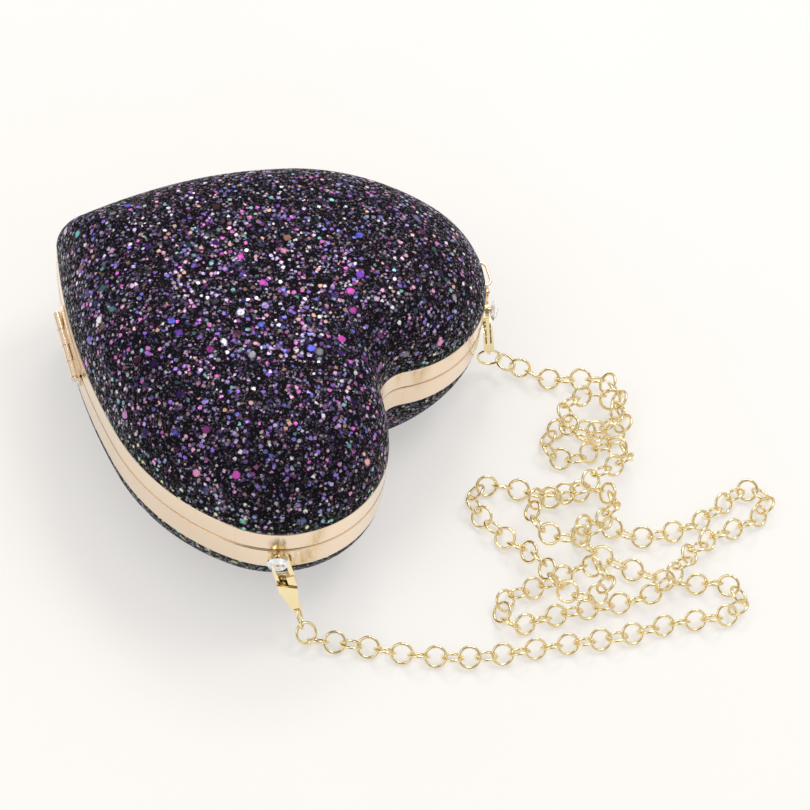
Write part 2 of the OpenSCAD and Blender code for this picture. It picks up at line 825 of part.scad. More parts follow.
base_frame();
base_shell();
base_cover();
base_lining();
base_hinge_leaf();
hinge_pin();
strap_studs();
crystal_rings();
catch_tab();
lid_frame();
lid_shell();
lid_cover();
lid_lining();
lid_hinge_leaf();
catch_loop();
near_clasp_body();
near_clasp_gate();
near_clasp_pin();
near_clasp_spring();
far_clasp_body();
far_clasp_gate();
far_clasp_pin();
far_clasp_spring();
jump_rings();
strap_near_run();
strap_right_loops();
strap_left_loops();
strap_far_run();
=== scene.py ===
"""Heart shaped hard case purse: glitter covers, satin linings, rose gold hardware and a chain strap."""
import logging
import math
from dataclasses import dataclass, field
from enum import Enum

import bmesh
import bpy
from mathutils import Matrix, Vector


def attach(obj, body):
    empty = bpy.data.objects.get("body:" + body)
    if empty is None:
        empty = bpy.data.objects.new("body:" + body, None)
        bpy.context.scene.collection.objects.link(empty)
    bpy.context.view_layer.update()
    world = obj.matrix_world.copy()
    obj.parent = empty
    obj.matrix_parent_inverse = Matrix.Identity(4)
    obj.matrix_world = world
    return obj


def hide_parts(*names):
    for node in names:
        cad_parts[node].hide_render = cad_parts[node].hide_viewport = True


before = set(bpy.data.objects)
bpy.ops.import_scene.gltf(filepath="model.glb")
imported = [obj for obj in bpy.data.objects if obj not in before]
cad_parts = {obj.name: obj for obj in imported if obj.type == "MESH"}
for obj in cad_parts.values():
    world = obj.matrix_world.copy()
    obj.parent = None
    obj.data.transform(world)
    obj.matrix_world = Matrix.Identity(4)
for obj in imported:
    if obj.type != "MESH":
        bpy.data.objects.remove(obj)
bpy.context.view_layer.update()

# Metres in a millimetre
MM = 0.001
# Height of the parting line of the two halves, in millimetres
SEAM = 41.7
# Vertices closer than this are merged, in metres
WELD = 1e-6
# Turns in degrees
QUARTER_TURN = 90.0
HALF_TURN = 180.0
FULL_TURN = 360.0

log = logging.getLogger("purse")
Colour = tuple[float, float, float]
Stops = tuple[tuple[float, Colour], ...]
Place = tuple[float, float, float]


class Slot(Enum):
    """Names of material slots of the record; a sheet's kind chooses between the glitter and the satin
    material.
    """

    STRAP = "strap_gold"
    GLITTER = "glitter"
    LINING = "lining"


class Socket(Enum):
    """Kinds of socket of a node group."""

    NUMBER = "NodeSocketFloat"
    VECTOR = "NodeSocketVector"


class Tree:
    """A node tree with short calls for adding and joining nodes."""

    # A Mix node's factor and two colours, and its mixed colour, by position
    MIX_INPUTS = (0, 6, 7)
    MIX_RESULT = 2
    # Middle of a random colour's range
    MIDDLE = (0.5, 0.5, 0.5)

    def __init__(self, tree: bpy.types.NodeTree) -> None:
        """Wrap a tree.

        Args:
            tree: the tree to add nodes to.
        """
        self.tree = tree

    def feed(self, target: bpy.types.NodeSocket, value: object) -> None:
        """Join a socket to an input, or give the input a plain value.

        Args:
            target: the input.
            value: a socket, or a value of the input's own kind.
        """
        if isinstance(value, bpy.types.NodeSocket):
            self.tree.links.new(value, target)
        else:
            target.default_value = value

    def add(self, kind: str, sockets: dict[str, object] | None = None, **settings: object) -> bpy.types.Node:
        """Add a node.

        Args:
            kind: the node's type name.
            sockets: what feeds its inputs, by their names.
            settings: the node's own settings.

        Returns:
            The new node.
        """
        node = self.tree.nodes.new(kind)
        for name, value in settings.items():
            setattr(node, name, value)
        for name, value in (sockets or {}).items():
            self.feed(node.inputs[name], value)
        return node

    def spot(self) -> bpy.types.NodeSocket:
        """Object coordinates of the shaded point."""
        return self.add("ShaderNodeTexCoord").outputs["Object"]

    def noise(self, spot: bpy.types.NodeSocket, scale: object, detail: float) -> bpy.types.Node:
        """Add a Noise Texture node.

        Args:
            spot: the coordinates' socket.
            scale: patches in a metre, a socket or number.
            detail: how many finer noises are added.

        Returns:
            The node, with outputs Fac and Color.
        """
        return self.add("ShaderNodeTexNoise", {"Vector": spot, "Scale": scale, "Detail": detail})

    def maths(self, operation: str, a: object, b: object = 0.0, clamp: bool = False) -> bpy.types.NodeSocket:
        """Add a Math node.

        Args:
            operation: the Math node's operation.
            a: a socket or number.
            b: a socket or number.
            clamp: True keeps the result from 0 to 1.

        Returns:
            The result socket.
        """
        node = self.add("ShaderNodeMath", operation=operation, use_clamp=clamp)
        for target, value in zip(node.inputs, (a, b)):
            self.feed(target, value)
        return node.outputs[0]

    def vectors(self, operation: str, *values: object, result: str = "Vector") -> bpy.types.NodeSocket:
        """Add a Vector Math node.

        Args:
            operation: the node's operation.
            values: a socket or three numbers for each of its first inputs.
            result: name of the output.

        Returns:
            The result socket.
        """
        node = self.add("ShaderNodeVectorMath", operation=operation)
        for target, value in zip(node.inputs, values):
            self.feed(target, value)
        return node.outputs[result]

    def fade(self, value: bpy.types.NodeSocket, start: float, end: float,
             at_start: float, at_end: float) -> bpy.types.NodeSocket:
        """Map a number's range to another, and hold it at both ends.

        Args:
            value: the number's socket.
            start: the number where the change starts.
            end: the number where it ends.
            at_start: result at the start.
            at_end: result at the end.

        Returns:
            The result socket.
        """
        sockets = {"Value": value, "From Min": start, "From Max": end, "To Min": at_start, "To Max": at_end}
        return self.add("ShaderNodeMapRange", sockets).outputs["Result"]

    def mix(self, share: object, first: object, second: object) -> bpy.types.NodeSocket:
        """Mix two colours.

        Args:
            share: how much of the second colour, a socket or number.
            first: first colour, a socket or three numbers.
            second: second colour, a socket or three numbers.

        Returns:
            The mixed colour's socket.
        """
        node = self.add("ShaderNodeMix", data_type="RGBA")
        for place, value in zip(self.MIX_INPUTS, (share, first, second)):
            self.feed(node.inputs[place], (*value, 1.0) if isinstance(value, tuple) else value)
        return node.outputs[self.MIX_RESULT]

    def steps(self, value: bpy.types.NodeSocket, stops: Stops) -> bpy.types.NodeSocket:
        """Map a number to flat steps of colour.

        Args:
            value: the number's socket.
            stops: where each step starts, and its colour.

        Returns:
            The colour's socket.
        """
        node = self.add("ShaderNodeValToRGB", {"Fac": value})
        bar = node.color_ramp
        bar.interpolation = "CONSTANT"
        ready = len(bar.elements)
        for place, (position, colour) in enumerate(stops):
            stop = bar.elements[place] if place < ready else bar.elements.new(position)
            stop.position = position
            stop.color = (*colour, 1.0)
        return node.outputs["Color"]

    def centred(self, colour: bpy.types.NodeSocket) -> bpy.types.NodeSocket:
        """Turn a random colour into a vector that points to any side."""
        return self.vectors("SUBTRACT", colour, self.MIDDLE)

    def leaned(self, tilt: bpy.types.NodeSocket) -> bpy.types.NodeSocket:
        """Lean the surface's own normal.

        Args:
            tilt: the vector that is added to it.

        Returns:
            The leaning normal, of length one.
        """
        face = self.add("ShaderNodeNewGeometry")
        return self.vectors("NORMALIZE", self.vectors("ADD", face.outputs["Normal"], tilt))

    def bump(self, height: bpy.types.NodeSocket, strength: float, distance: float) -> bpy.types.NodeSocket:
        """Add a Bump node.

        Args:
            height: the height's socket.
            strength: how strongly it shows, from 0 to 1.
            distance: height of 1, in metres.

        Returns:
            The bumped normal.
        """
        sockets = {"Height": height, "Strength": strength, "Distance": distance}
        return self.add("ShaderNodeBump", sockets).outputs["Normal"]


def new_group(name: str, inputs: dict[str, Socket],
              outputs: dict[str, Socket]) -> tuple[Tree, bpy.types.Node, bpy.types.Node]:
    """Start a shader node group.

    Args:
        name: the group's name.
        inputs: name and kind of each input.
        outputs: name and kind of each output.

    Returns:
        The group's tree, its input node and its output node.
    """
    group = bpy.data.node_groups.new(name, "ShaderNodeTree")
    for way, sockets in (("INPUT", inputs), ("OUTPUT", outputs)):
        for label, kind in sockets.items():
            group.interface.new_socket(name=label, in_out=way, socket_type=kind.value)
    tree = Tree(group)
    return tree, tree.add("NodeGroupInput"), tree.add("NodeGroupOutput")


@dataclass(frozen=True)
class Flakes:
    """Round glitter flakes scattered over a surface, in one group that every layer uses.

    Their edges are bent by a noise, ragged_reach metres at most. A flake is solid up to one share of its
    radius and gone at the other.
    """

    name: str = "flakes"
    ragged_scale: float = 1400.0
    ragged_detail: float = 1.0
    ragged_reach: float = 0.0011
    solid_to: float = 0.7
    gone_at: float = 1.1

    def group(self) -> bpy.types.NodeTree:
        """Build the group, or find it once it is there.

        Returns:
            A group with inputs Vector, Cell, Radius and Share, and outputs Mask, Hue, Shine and Tilt.
        """
        found = bpy.data.node_groups.get(self.name)
        if found:
            return found
        number, vector = Socket.NUMBER, Socket.VECTOR
        tree, given, result = new_group(
            self.name,
            {"Vector": vector, "Cell": number, "Radius": number, "Share": number},
            {"Mask": number, "Hue": number, "Shine": number, "Tilt": vector})
        spot = given.outputs["Vector"]
        ragged = tree.noise(spot, self.ragged_scale, self.ragged_detail)
        bent = tree.vectors("MULTIPLY_ADD", ragged.outputs["Color"], (self.ragged_reach,) * 3, spot)
        per_metre = tree.maths("DIVIDE", 1 / MM, given.outputs["Cell"])
        cells = tree.add("ShaderNodeTexVoronoi", {"Vector": bent, "Scale": per_metre},
                         voronoi_dimensions="3D", feature="F1")
        chance = tree.add("ShaderNodeSeparateColor", {"Color": cells.outputs["Color"]})
        away = tree.maths("DIVIDE", cells.outputs["Distance"], given.outputs["Radius"])
        inside = tree.fade(away, self.solid_to, self.gone_at, 1.0, 0.0)
        chosen = tree.maths("LESS_THAN", chance.outputs["Blue"], given.outputs["Share"])
        tree.feed(result.inputs["Mask"], tree.maths("MULTIPLY", inside, chosen))
        tree.feed(result.inputs["Hue"], chance.outputs["Red"])
        tree.feed(result.inputs["Shine"], chance.outputs["Green"])
        tree.feed(result.inputs["Tilt"], tree.centred(cells.outputs["Color"]))
        return tree.tree


@dataclass(frozen=True)
class PlateWear:
    """Faint rub marks and unevenness of polished plate, in one group that every plated metal uses.

    The fine marks are the given number of times smaller than the broad ones.
    """

    name: str = "plate_wear"
    broad_detail: float = 4.0
    fine_detail: float = 2.0
    fine_times: float = 14.0

    def group(self) -> bpy.types.NodeTree:
        """Build the group, or find it once it is there.

        Returns:
            A group with inputs Size and Depth, and outputs Tone, Rough and Height.
        """
        found = bpy.data.node_groups.get(self.name)
        if found:
            return found
        number = Socket.NUMBER
        tree, given, result = new_group(
            self.name,
            {"Size": number, "Depth": number},
            {"Tone": number, "Rough": number, "Height": number})
        spot, size, depth = tree.spot(), given.outputs["Size"], given.outputs["Depth"]
        broad = tree.noise(spot, size, self.broad_detail)
        fine = tree.noise(spot, tree.maths("MULTIPLY", size, self.fine_times), self.fine_detail)
        tree.feed(result.inputs["Tone"], broad.outputs["Fac"])
        tree.feed(result.inputs["Rough"], tree.maths("MULTIPLY", fine.outputs["Fac"], depth))
        tree.feed(result.inputs["Height"], tree.maths("MULTIPLY", broad.outputs["Fac"], depth))
        return tree.tree


@dataclass(frozen=True)
class Finish:
    """A finish around a Principled shader. Lengths in its fields are in metres."""

    name: str

    def feeds(self, tree: Tree) -> dict[str, object]:
        """What the shader's inputs get in this finish.

        Args:
            tree: the material's tree, which takes the nodes.

        Returns:
            A socket or plain value for each input, by the input's name.
        """
        raise NotImplementedError

    def material(self) -> bpy.types.Material:
        """Build the material.

        Returns:
            The material, with its shader fed.
        """
        material = bpy.data.materials.new(self.name)
        material.use_nodes = True
        tree = Tree(material.node_tree)
        shader = material.node_tree.nodes["Principled BSDF"]
        for label, value in self.feeds(tree).items():
            tree.feed(shader.inputs[label], value)
        return material


@dataclass(frozen=True)
class PlatedMetal(Finish):
    """Polished metal plate with faint rub marks: size is how many lie in a metre, depth their strength."""

    colour: Colour
    shade: Colour
    roughness: float
    size: float = 60.0
    depth: float = 0.15
    bump: float = 0.08
    bump_height: float = 0.0004

    def feeds(self, tree: Tree) -> dict[str, object]:
        """Mix the plate's two tones by its wear.

        Args:
            tree: the material's tree.

        Returns:
            What feeds the shader.
        """
        sockets = {"Size": self.size, "Depth": self.depth}
        wear = tree.add("ShaderNodeGroup", sockets, node_tree=PlateWear().group())
        return {
            "Base Color": tree.mix(wear.outputs["Tone"], self.shade, self.colour),
            "Roughness": tree.maths("ADD", wear.outputs["Rough"], self.roughness),
            "Metallic": 1.0,
            "Normal": tree.bump(wear.outputs["Height"], self.bump, self.bump_height),
        }


@dataclass(frozen=True)
class FlakeLayer:
    """One size of glitter flake.

    The cell is in millimetres, the radius a share of it. Share is how many cells hold a flake, shift moves
    the pattern, gain is how brightly flakes shine and grey how much silver they show.
    """

    cell: float
    radius: float
    share: float
    shift: float
    gain: float
    grey: float


@dataclass(frozen=True)
class GlitterFabric(Finish):
    """Black fabric under layers of coloured flakes, with other hues close to the frame.

    The rim hues fade out between two heights from the seam. Lean is how far the flakes tilt, and contrast
    the power of their shine. Where they cover the fabric it is metal by a share, and smoother by polish.
    """

    name: str = "glitter_fabric"
    base: Colour = (0.0035, 0.003, 0.005)
    silver: Colour = (0.70, 0.66, 0.80)
    rim_low: float = 0.012
    rim_high: float = 0.026
    lean: float = 0.6
    contrast: float = 1.8
    metal: float = 0.45
    dull: float = 0.8
    polish: float = 0.5
    specular: float = 0.08
    layers: tuple[FlakeLayer, ...] = (
        FlakeLayer(0.80, 0.48, 0.75, 0.0, 0.22, 0.5),
        FlakeLayer(1.35, 0.46, 0.50, 3.1, 0.85, 0.45),
        FlakeLayer(2.2, 0.38, 0.62, 7.7, 1.8, 0.15),
        FlakeLayer(7.0, 0.22, 0.60, 12.9, 1.4, 0.0),
        FlakeLayer(20.0, 0.06, 0.70, 21.3, 3.0, 0.7),
    )
    palette: Stops = (
        (0.0, (0.26, 0.09, 0.75)), (0.20, (0.85, 0.12, 0.70)), (0.36, (0.50, 0.36, 0.85)),
        (0.50, (0.95, 0.92, 1.00)), (0.64, (0.12, 0.14, 0.75)), (0.75, (0.95, 0.42, 0.66)),
        (0.86, (0.95, 0.50, 0.36)), (0.94, (0.20, 0.62, 0.62)),
    )
    rim_palette: Stops = (
        (0.0, (0.10, 0.30, 0.42)), (0.2, (0.12, 0.75, 0.55)), (0.38, (0.75, 0.85, 0.25)),
        (0.56, (0.85, 0.85, 0.80)), (0.72, (0.80, 0.25, 0.75)), (0.86, (0.30, 0.22, 0.85)),
    )

    def flakes(self, tree: Tree, spot: bpy.types.NodeSocket, layer: FlakeLayer) -> bpy.types.Node:
        """Place the flake group with one layer's values.

        Args:
            tree: the material's tree.
            spot: Object coordinates.
            layer: the layer.

        Returns:
            The group's node.
        """
        shifted = tree.vectors("ADD", spot, (layer.shift, layer.shift / 2, -layer.shift))
        sockets = {"Vector": shifted, "Cell": layer.cell, "Radius": layer.radius, "Share": layer.share}
        return tree.add("ShaderNodeGroup", sockets, node_tree=Flakes().group())

    def glow(self, tree: Tree, flakes: bpy.types.Node, rim: bpy.types.NodeSocket,
             layer: FlakeLayer) -> bpy.types.NodeSocket:
        """Colour of one layer's flakes.

        Args:
            tree: the material's tree.
            flakes: the layer's group node.
            rim: how close the point is to the frame.
            layer: the layer.

        Returns:
            The colour's socket.
        """
        inner = tree.steps(flakes.outputs["Hue"], self.palette)
        outer = tree.steps(flakes.outputs["Hue"], self.rim_palette)
        hue = tree.mix(layer.grey, tree.mix(rim, inner, outer), self.silver)
        sharp = tree.maths("POWER", flakes.outputs["Shine"], self.contrast)
        return tree.mix(tree.maths("MULTIPLY", sharp, layer.gain, clamp=True), self.base, hue)

    def feeds(self, tree: Tree) -> dict[str, object]:
        """Lay the flakes over the fabric, layer by layer.

        Args:
            tree: the material's tree.

        Returns:
            What feeds the shader.
        """
        spot = tree.spot()
        height = tree.add("ShaderNodeSeparateXYZ", {"Vector": spot}).outputs["Z"]
        from_seam = tree.maths("ABSOLUTE", tree.maths("SUBTRACT", height, SEAM * MM))
        rim = tree.fade(from_seam, self.rim_low, self.rim_high, 1.0, 0.0)
        colour: object = self.base
        cover: object = 0.0
        tilt: object = (0.0, 0.0, 0.0)
        for layer in self.layers:
            flakes = self.flakes(tree, spot, layer)
            mask = flakes.outputs["Mask"]
            colour = tree.mix(mask, colour, self.glow(tree, flakes, rim, layer))
            cover = tree.maths("MAXIMUM", mask, cover)
            sockets = {"Vector": flakes.outputs["Tilt"], "Scale": tree.maths("MULTIPLY", mask, self.lean)}
            lean = tree.add("ShaderNodeVectorMath", sockets, operation="SCALE")
            tilt = tree.vectors("ADD", tilt, lean.outputs["Vector"])
        return {
            "Base Color": colour,
            "Metallic": tree.maths("MULTIPLY", cover, self.metal),
            "Roughness": tree.maths("SUBTRACT", self.dull, tree.maths("MULTIPLY", cover, self.polish)),
            "Specular IOR Level": self.specular,
            "Normal": tree.leaned(tilt),
        }


@dataclass(frozen=True)
class Satin(Finish):
    """Dark woven satin with a soft sheen. Threads and slubs are counted in a metre."""

    name: str = "satin_lining"
    colour: Colour = (0.012, 0.010, 0.015)
    light: Colour = (0.030, 0.026, 0.036)
    threads: float = 2600.0
    wander: float = 1.5
    wander_detail: float = 2.0
    slub_scale: float = 90.0
    slub_detail: float = 3.0
    bump: float = 0.25
    bump_height: float = 0.0002
    roughness: float = 0.42
    sheen: float = 0.5

    def feeds(self, tree: Tree) -> dict[str, object]:
        """Weave the weft and its slubs.

        Args:
            tree: the material's tree.

        Returns:
            What feeds the shader.
        """
        spot = tree.spot()
        weft = tree.add("ShaderNodeTexWave", {"Vector": spot, "Scale": self.threads})
        tree.feed(weft.inputs["Distortion"], self.wander)
        tree.feed(weft.inputs["Detail"], self.wander_detail)
        slub = tree.noise(spot, self.slub_scale, self.slub_detail)
        tone = tree.maths("MULTIPLY", weft.outputs["Fac"], slub.outputs["Fac"])
        return {
            "Base Color": tree.mix(tone, self.colour, self.light),
            "Roughness": self.roughness,
            "Sheen Weight": self.sheen,
            "Normal": tree.bump(tone, self.bump, self.bump_height),
        }


@dataclass(frozen=True)
class MouldedPlastic(Finish):
    """Dark moulded plastic with a fine grain."""

    name: str = "moulded_shell"
    colour: Colour = (0.014, 0.014, 0.015)
    light: Colour = (0.028, 0.028, 0.030)
    grain_scale: float = 900.0
    grain_detail: float = 2.0
    bump: float = 0.2
    bump_height: float = 0.0001
    roughness: float = 0.5

    def feeds(self, tree: Tree) -> dict[str, object]:
        """Grain the plastic.

        Args:
            tree: the material's tree.

        Returns:
            What feeds the shader.
        """
        grain = tree.noise(tree.spot(), self.grain_scale, self.grain_detail).outputs["Fac"]
        return {
            "Base Color": tree.mix(grain, self.colour, self.light),
            "Roughness": self.roughness,
            "Normal": tree.bump(grain, self.bump, self.bump_height),
        }


@dataclass(frozen=True)
class CutGlass(Finish):
    """Clear cut glass whose facets are painted in tones of white highlight and grey shade, with a faint
    painted glow standing in for their glints. It lets a share of the light through and bends it.
    """

    name: str = "cut_glass"
    # white of the facets painted as lit, and grey of those painted in shade
    colour: Colour = (1.0, 1.0, 1.0)
    shade: Colour = (0.55, 0.57, 0.60)
    facet: float = 0.0015
    # strength of the facets' painted glow: the glass gives off light though it is no lamp
    painted_glint_glow: float = 0.3
    roughness: float = 0.04
    bend: float = 1.6
    clear: float = 0.12

    def feeds(self, tree: Tree) -> dict[str, object]:
        """Cut the facets, each with its own lean, a painted tone of highlight or shade, and a painted glow.

        Args:
            tree: the material's tree.

        Returns:
            What feeds the shader.
        """
        facets = tree.add("ShaderNodeTexVoronoi", {"Vector": tree.spot(), "Scale": 1 / self.facet})
        tone = tree.add("ShaderNodeSeparateColor", {"Color": facets.outputs["Color"]})
        return {
            # each facet is painted at random between grey shade and white highlight
            "Base Color": tree.mix(tone.outputs["Red"], self.shade, self.colour),
            "Roughness": self.roughness,
            "IOR": self.bend,
            "Transmission Weight": self.clear,
            # painted glints: a random share of the facets glows
            "Emission Color": tone.outputs["Green"],
            "Emission Strength": self.painted_glint_glow,
            "Normal": tree.leaned(tree.centred(facets.outputs["Color"])),
        }


@dataclass(frozen=True)
class PaleFloor(Finish):
    """Plain pale floor. Camera, mirrors and glass see it lifted towards white by a share of its own light."""

    name: str = "pale_floor"
    colour: Colour = (0.93, 0.915, 0.90)
    shade: Colour = (0.88, 0.865, 0.85)
    white: Colour = (0.94, 0.925, 0.90)
    black: Colour = (0.0, 0.0, 0.0)
    lift: float = 0.45
    cloud_scale: float = 9.0
    cloud_detail: float = 5.0
    roughness: float = 0.8

    def feeds(self, tree: Tree) -> dict[str, object]:
        """Cloud the floor and lift it for camera, glossy and transmission rays.

        Args:
            tree: the material's tree.

        Returns:
            What feeds the shader.
        """
        cloud = tree.noise(tree.spot(), self.cloud_scale, self.cloud_detail).outputs["Fac"]
        ray = tree.add("ShaderNodeLightPath").outputs
        seen = tree.maths("ADD", ray["Is Camera Ray"], ray["Is Glossy Ray"], clamp=True)
        seen = tree.maths("ADD", seen, ray["Is Transmission Ray"], clamp=True)
        lift = tree.maths("MULTIPLY", seen, self.lift)
        return {
            "Base Color": tree.mix(lift, tree.mix(cloud, self.shade, self.colour), self.black),
            "Roughness": self.roughness,
            "Emission Color": (*self.white, 1.0),
            "Emission Strength": lift,
        }


ROSE_GOLD = PlatedMetal("rose_gold", (0.95, 0.80, 0.63), (0.90, 0.73, 0.55), 0.08)
PALE_GOLD = PlatedMetal("pale_gold", (0.98, 0.86, 0.56), (0.90, 0.74, 0.42), 0.05, size=220.0)
SPRING_WIRE = PlatedMetal("spring_wire", (0.6, 0.6, 0.6), (0.45, 0.45, 0.45), 0.25)


def shown(name: str, bm: bmesh.types.BMesh) -> bpy.types.Object:
    """Turn a bmesh into a smooth object in the scene.

    Args:
        name: name of the piece.
        bm: the geometry, freed here.

    Returns:
        The new object, at the origin.
    """
    mesh = bpy.data.meshes.new(name)
    bm.to_mesh(mesh)
    bm.free()
    for face in mesh.polygons:
        face.use_smooth = True
    piece = bpy.data.objects.new(name, mesh)
    bpy.context.collection.objects.link(piece)
    return piece


def dress(piece: bpy.types.Object, material: bpy.types.Material) -> None:
    """Give a piece one material.

    Args:
        piece: the piece, a CAD node or a new one.
        material: its material.
    """
    if not piece.material_slots:
        piece.data.materials.append(material)
    for holder in piece.material_slots:
        holder.material = material


def facing(angle: float) -> Vector:
    """Unit vector at an angle in degrees."""
    return Vector((math.cos(math.radians(angle)), math.sin(math.radians(angle))))


@dataclass(frozen=True)
class Arc:
    """One arc of the outline, with the heading at its start and its turn in degrees."""

    centre: Vector
    radius: float
    heading: float
    turn: float


@dataclass(frozen=True)
class HeartOutline:
    """Outline of the case: arcs from the tip to the cleft, mirrored.

    The width is in millimetres. Each arc has its radius as a share of it, its turn in degrees and a number
    of steps, and a small arc rounds the cleft.
    """

    width: float = 165.4
    shares: tuple[float, ...] = (0.0375, 1.4242, 0.5034, 0.2489)
    turns: tuple[float, ...] = (33.1, 21.9, 42.1, 131.4)
    steps: tuple[int, ...] = (6, 8, 12, 30)
    cleft_steps: int = 10

    def points(self, inset: float) -> list[Vector]:
        """Points of the outline moved inwards.

        Args:
            inset: how far, in millimetres.

        Returns:
            Points in order round the heart, from the tip.
        """
        heading, at, arcs = 0.0, Vector((0.0, 0.0)), []
        for share, turn in zip(self.shares, self.turns):
            radius = share * self.width
            centre = at + radius * facing(heading + QUARTER_TURN)
            arcs.append(Arc(centre, radius, heading, turn))
            heading += turn
            at = centre + radius * facing(heading - QUARTER_TURN)
        cleft_turn = heading - HALF_TURN
        cleft_r = at.x / math.sin(math.radians(cleft_turn))
        cleft = at - cleft_r * facing(heading + QUARTER_TURN)
        widest, lobe = arcs[-2:]
        scale = self.width / 2 / (widest.centre.x + widest.radius)
        middle = Vector((0.0, (lobe.centre.y + lobe.radius) / 2))
        half = []
        for arc, steps in zip(arcs, self.steps):
            for k in range(steps):
                away = facing(arc.heading - QUARTER_TURN + arc.turn * k / steps)
                half.append(scale * (arc.centre - middle) + (scale * arc.radius - inset) * away)
        for k in range(self.cleft_steps + 1):
            away = facing(heading + QUARTER_TURN - cleft_turn * k / self.cleft_steps)
            half.append(scale * (cleft - middle) + (scale * cleft_r + inset) * away)
        return half + [Vector((-p.x, p.y)) for p in half[-2:0:-1]]


@dataclass(frozen=True)
class Profile:
    """Cross-section of one closed dome sheet, in millimetres.

    Insets are from the frame's outer face and the skirt is a height above the parting line. The rises are
    those of the crown above the frame. The swell's inset is where the sheet bulges out over the frame's
    rim, or None where it goes straight up.
    """

    outer_inset: float
    inner_inset: float
    skirt: float
    outer_rise: float
    inner_rise: float
    swell_inset: float | None = None


COVER = Profile(outer_inset=1.3, inner_inset=2.1, skirt=5.3, outer_rise=32.0, inner_rise=31.2,
                swell_inset=0.1)
LINER = Profile(outer_inset=4.5, inner_inset=5.2, skirt=0.6, outer_rise=28.8, inner_rise=28.1)


@dataclass
class DomeSheet:
    """A sheet stretched over one half of the case, of heart shaped rings that get rounder up to the crown.

    The sheet's flat size and area are in metres and are not used. The heights of the frame's band, the flat
    that the case rests on, the tuck over the rim and its hold below it are in millimetres. The centre and the
    round crown's reach are shares of the width, the two powers bend the dome's side, and each of the shares
    is a ring's size, 1 at the frame. The circle that the rings start from can have any radius.
    """

    name: str
    node: str
    shell: str
    body: str
    slot: Slot
    profile: Profile
    below: bool
    flat: tuple[float, float] = (0.21, 0.20)
    area: float = 0.028
    outline: HeartOutline = HeartOutline()
    band: float = 10.5
    rest_cut: float = 0.8
    centre_share: float = 0.034
    round_share: float = 0.48
    power: float = 4.7
    side_power: float = 1.6
    shares: tuple[float, ...] = (1.0, 0.997, 0.985, 0.96, 0.92, 0.865, 0.79, 0.69, 0.56, 0.41, 0.26, 0.12)
    tuck: float = 0.05
    rim_hold: float = 0.2
    start_radius: float = 1.0
    levels: int = 2

    def ring(self, inset: float, share: float, rise: float) -> list[Vector]:
        """One ring of the dome.

        Args:
            inset: how far inside the frame's outer face.
            share: its size as a share of the outline, 1 at the frame.
            rise: height of this sheet's crown above the frame.

        Returns:
            Points in order, in millimetres from the parting line.
        """
        lift = self.band + rise * max(0.0, 1 - share ** self.power) ** (1 / self.side_power)
        limit = self.band + rise - (self.rest_cut if self.below else 0.0)
        height = max(self.band + self.tuck, min(lift, limit))
        middle = Vector((0.0, self.centre_share * self.outline.width))
        reach = self.round_share * self.outline.width - inset
        spots = []
        for point in self.outline.points(inset):
            away = point - middle
            spot = middle + share * (share * away + (1 - share) * reach * away.normalized())
            spots.append(Vector((spot.x, spot.y, height)))
        return spots

    def wall(self, inset: float, height: float) -> list[Vector]:
        """Ring of the upright skirt behind the frame."""
        return [Vector((p.x, p.y, height)) for p in self.outline.points(inset)]

    def skin(self, inset: float, rise: float, swell: float | None) -> list[list[Vector]]:
        """Rings of one side of the sheet from the skirt to near the crown.

        Args:
            inset: inset of the skirt.
            rise: height of the crown above the frame.
            swell: inset above the frame's rim, or None where the sheet goes straight up.

        Returns:
            The rings.
        """
        skirt, rim = self.profile.skirt, self.band + self.tuck
        if swell is None:
            upright = [self.wall(inset, skirt), self.wall(inset, (skirt + self.band) / 2)]
            swell = inset
        else:
            upright = [self.wall(inset, skirt), self.wall(inset, self.band - self.rim_hold),
                       self.wall(inset, rim), self.wall(swell, rim)]
        return upright + [self.ring(swell, share, rise) for share in self.shares]

    def build(self) -> bpy.types.Object:
        """Raise a circle ring by ring over the outside, round the skirt's edge and up the inside.

        Returns:
            The closed sheet.
        """
        form = self.profile
        outside = self.skin(form.outer_inset, form.outer_rise, form.swell_inset)
        inside = self.skin(form.inner_inset, form.inner_rise, None)
        rings = outside[::-1] + inside
        centre_y = self.centre_share * self.outline.width
        outer_top, inner_top = (Vector((0.0, centre_y, skin[-1][0].z)) for skin in (outside, inside))
        bm = bmesh.new()
        start = bmesh.ops.create_circle(bm, cap_ends=False, segments=len(rings[0]), radius=self.start_radius)
        row = sorted(start["verts"], key=lambda vert: math.atan2(vert.co.y, vert.co.x) % math.tau)
        self.move(row, rings[0])
        self.close(bm, row, outer_top)
        for ring in rings[1:]:
            row = self.extrude(bm, row)
            self.move(row, ring)
        self.close(bm, row, inner_top)
        bmesh.ops.recalc_face_normals(bm, faces=bm.faces)
        piece = shown(self.name, bm)
        smooth = piece.modifiers.new("smooth", "SUBSURF")
        smooth.levels = smooth.render_levels = self.levels
        return piece

    def move(self, row: list[bmesh.types.BMVert], ring: list[Vector]) -> None:
        """Move a row of vertices onto a ring, on this half's side of the parting line."""
        for vert, point in zip(row, ring):
            vert.co = Vector((point.x, point.y, SEAM + (-point.z if self.below else point.z))) * MM

    @staticmethod
    def extrude(bm: bmesh.types.BMesh, row: list[bmesh.types.BMVert]) -> list[bmesh.types.BMVert]:
        """Extrude a closed row of vertices.

        Args:
            bm: the geometry.
            row: vertices in order.

        Returns:
            The new vertices in the same order.
        """
        edges = [bm.edges.get((a, b)) for a, b in zip(row, row[1:] + row[:1])]
        grown = bmesh.ops.extrude_edge_only(bm, edges=edges)["geom"]
        fresh = {part for part in grown if isinstance(part, bmesh.types.BMVert)}
        return [next(far for edge in vert.link_edges if (far := edge.other_vert(vert)) in fresh)
                for vert in row]

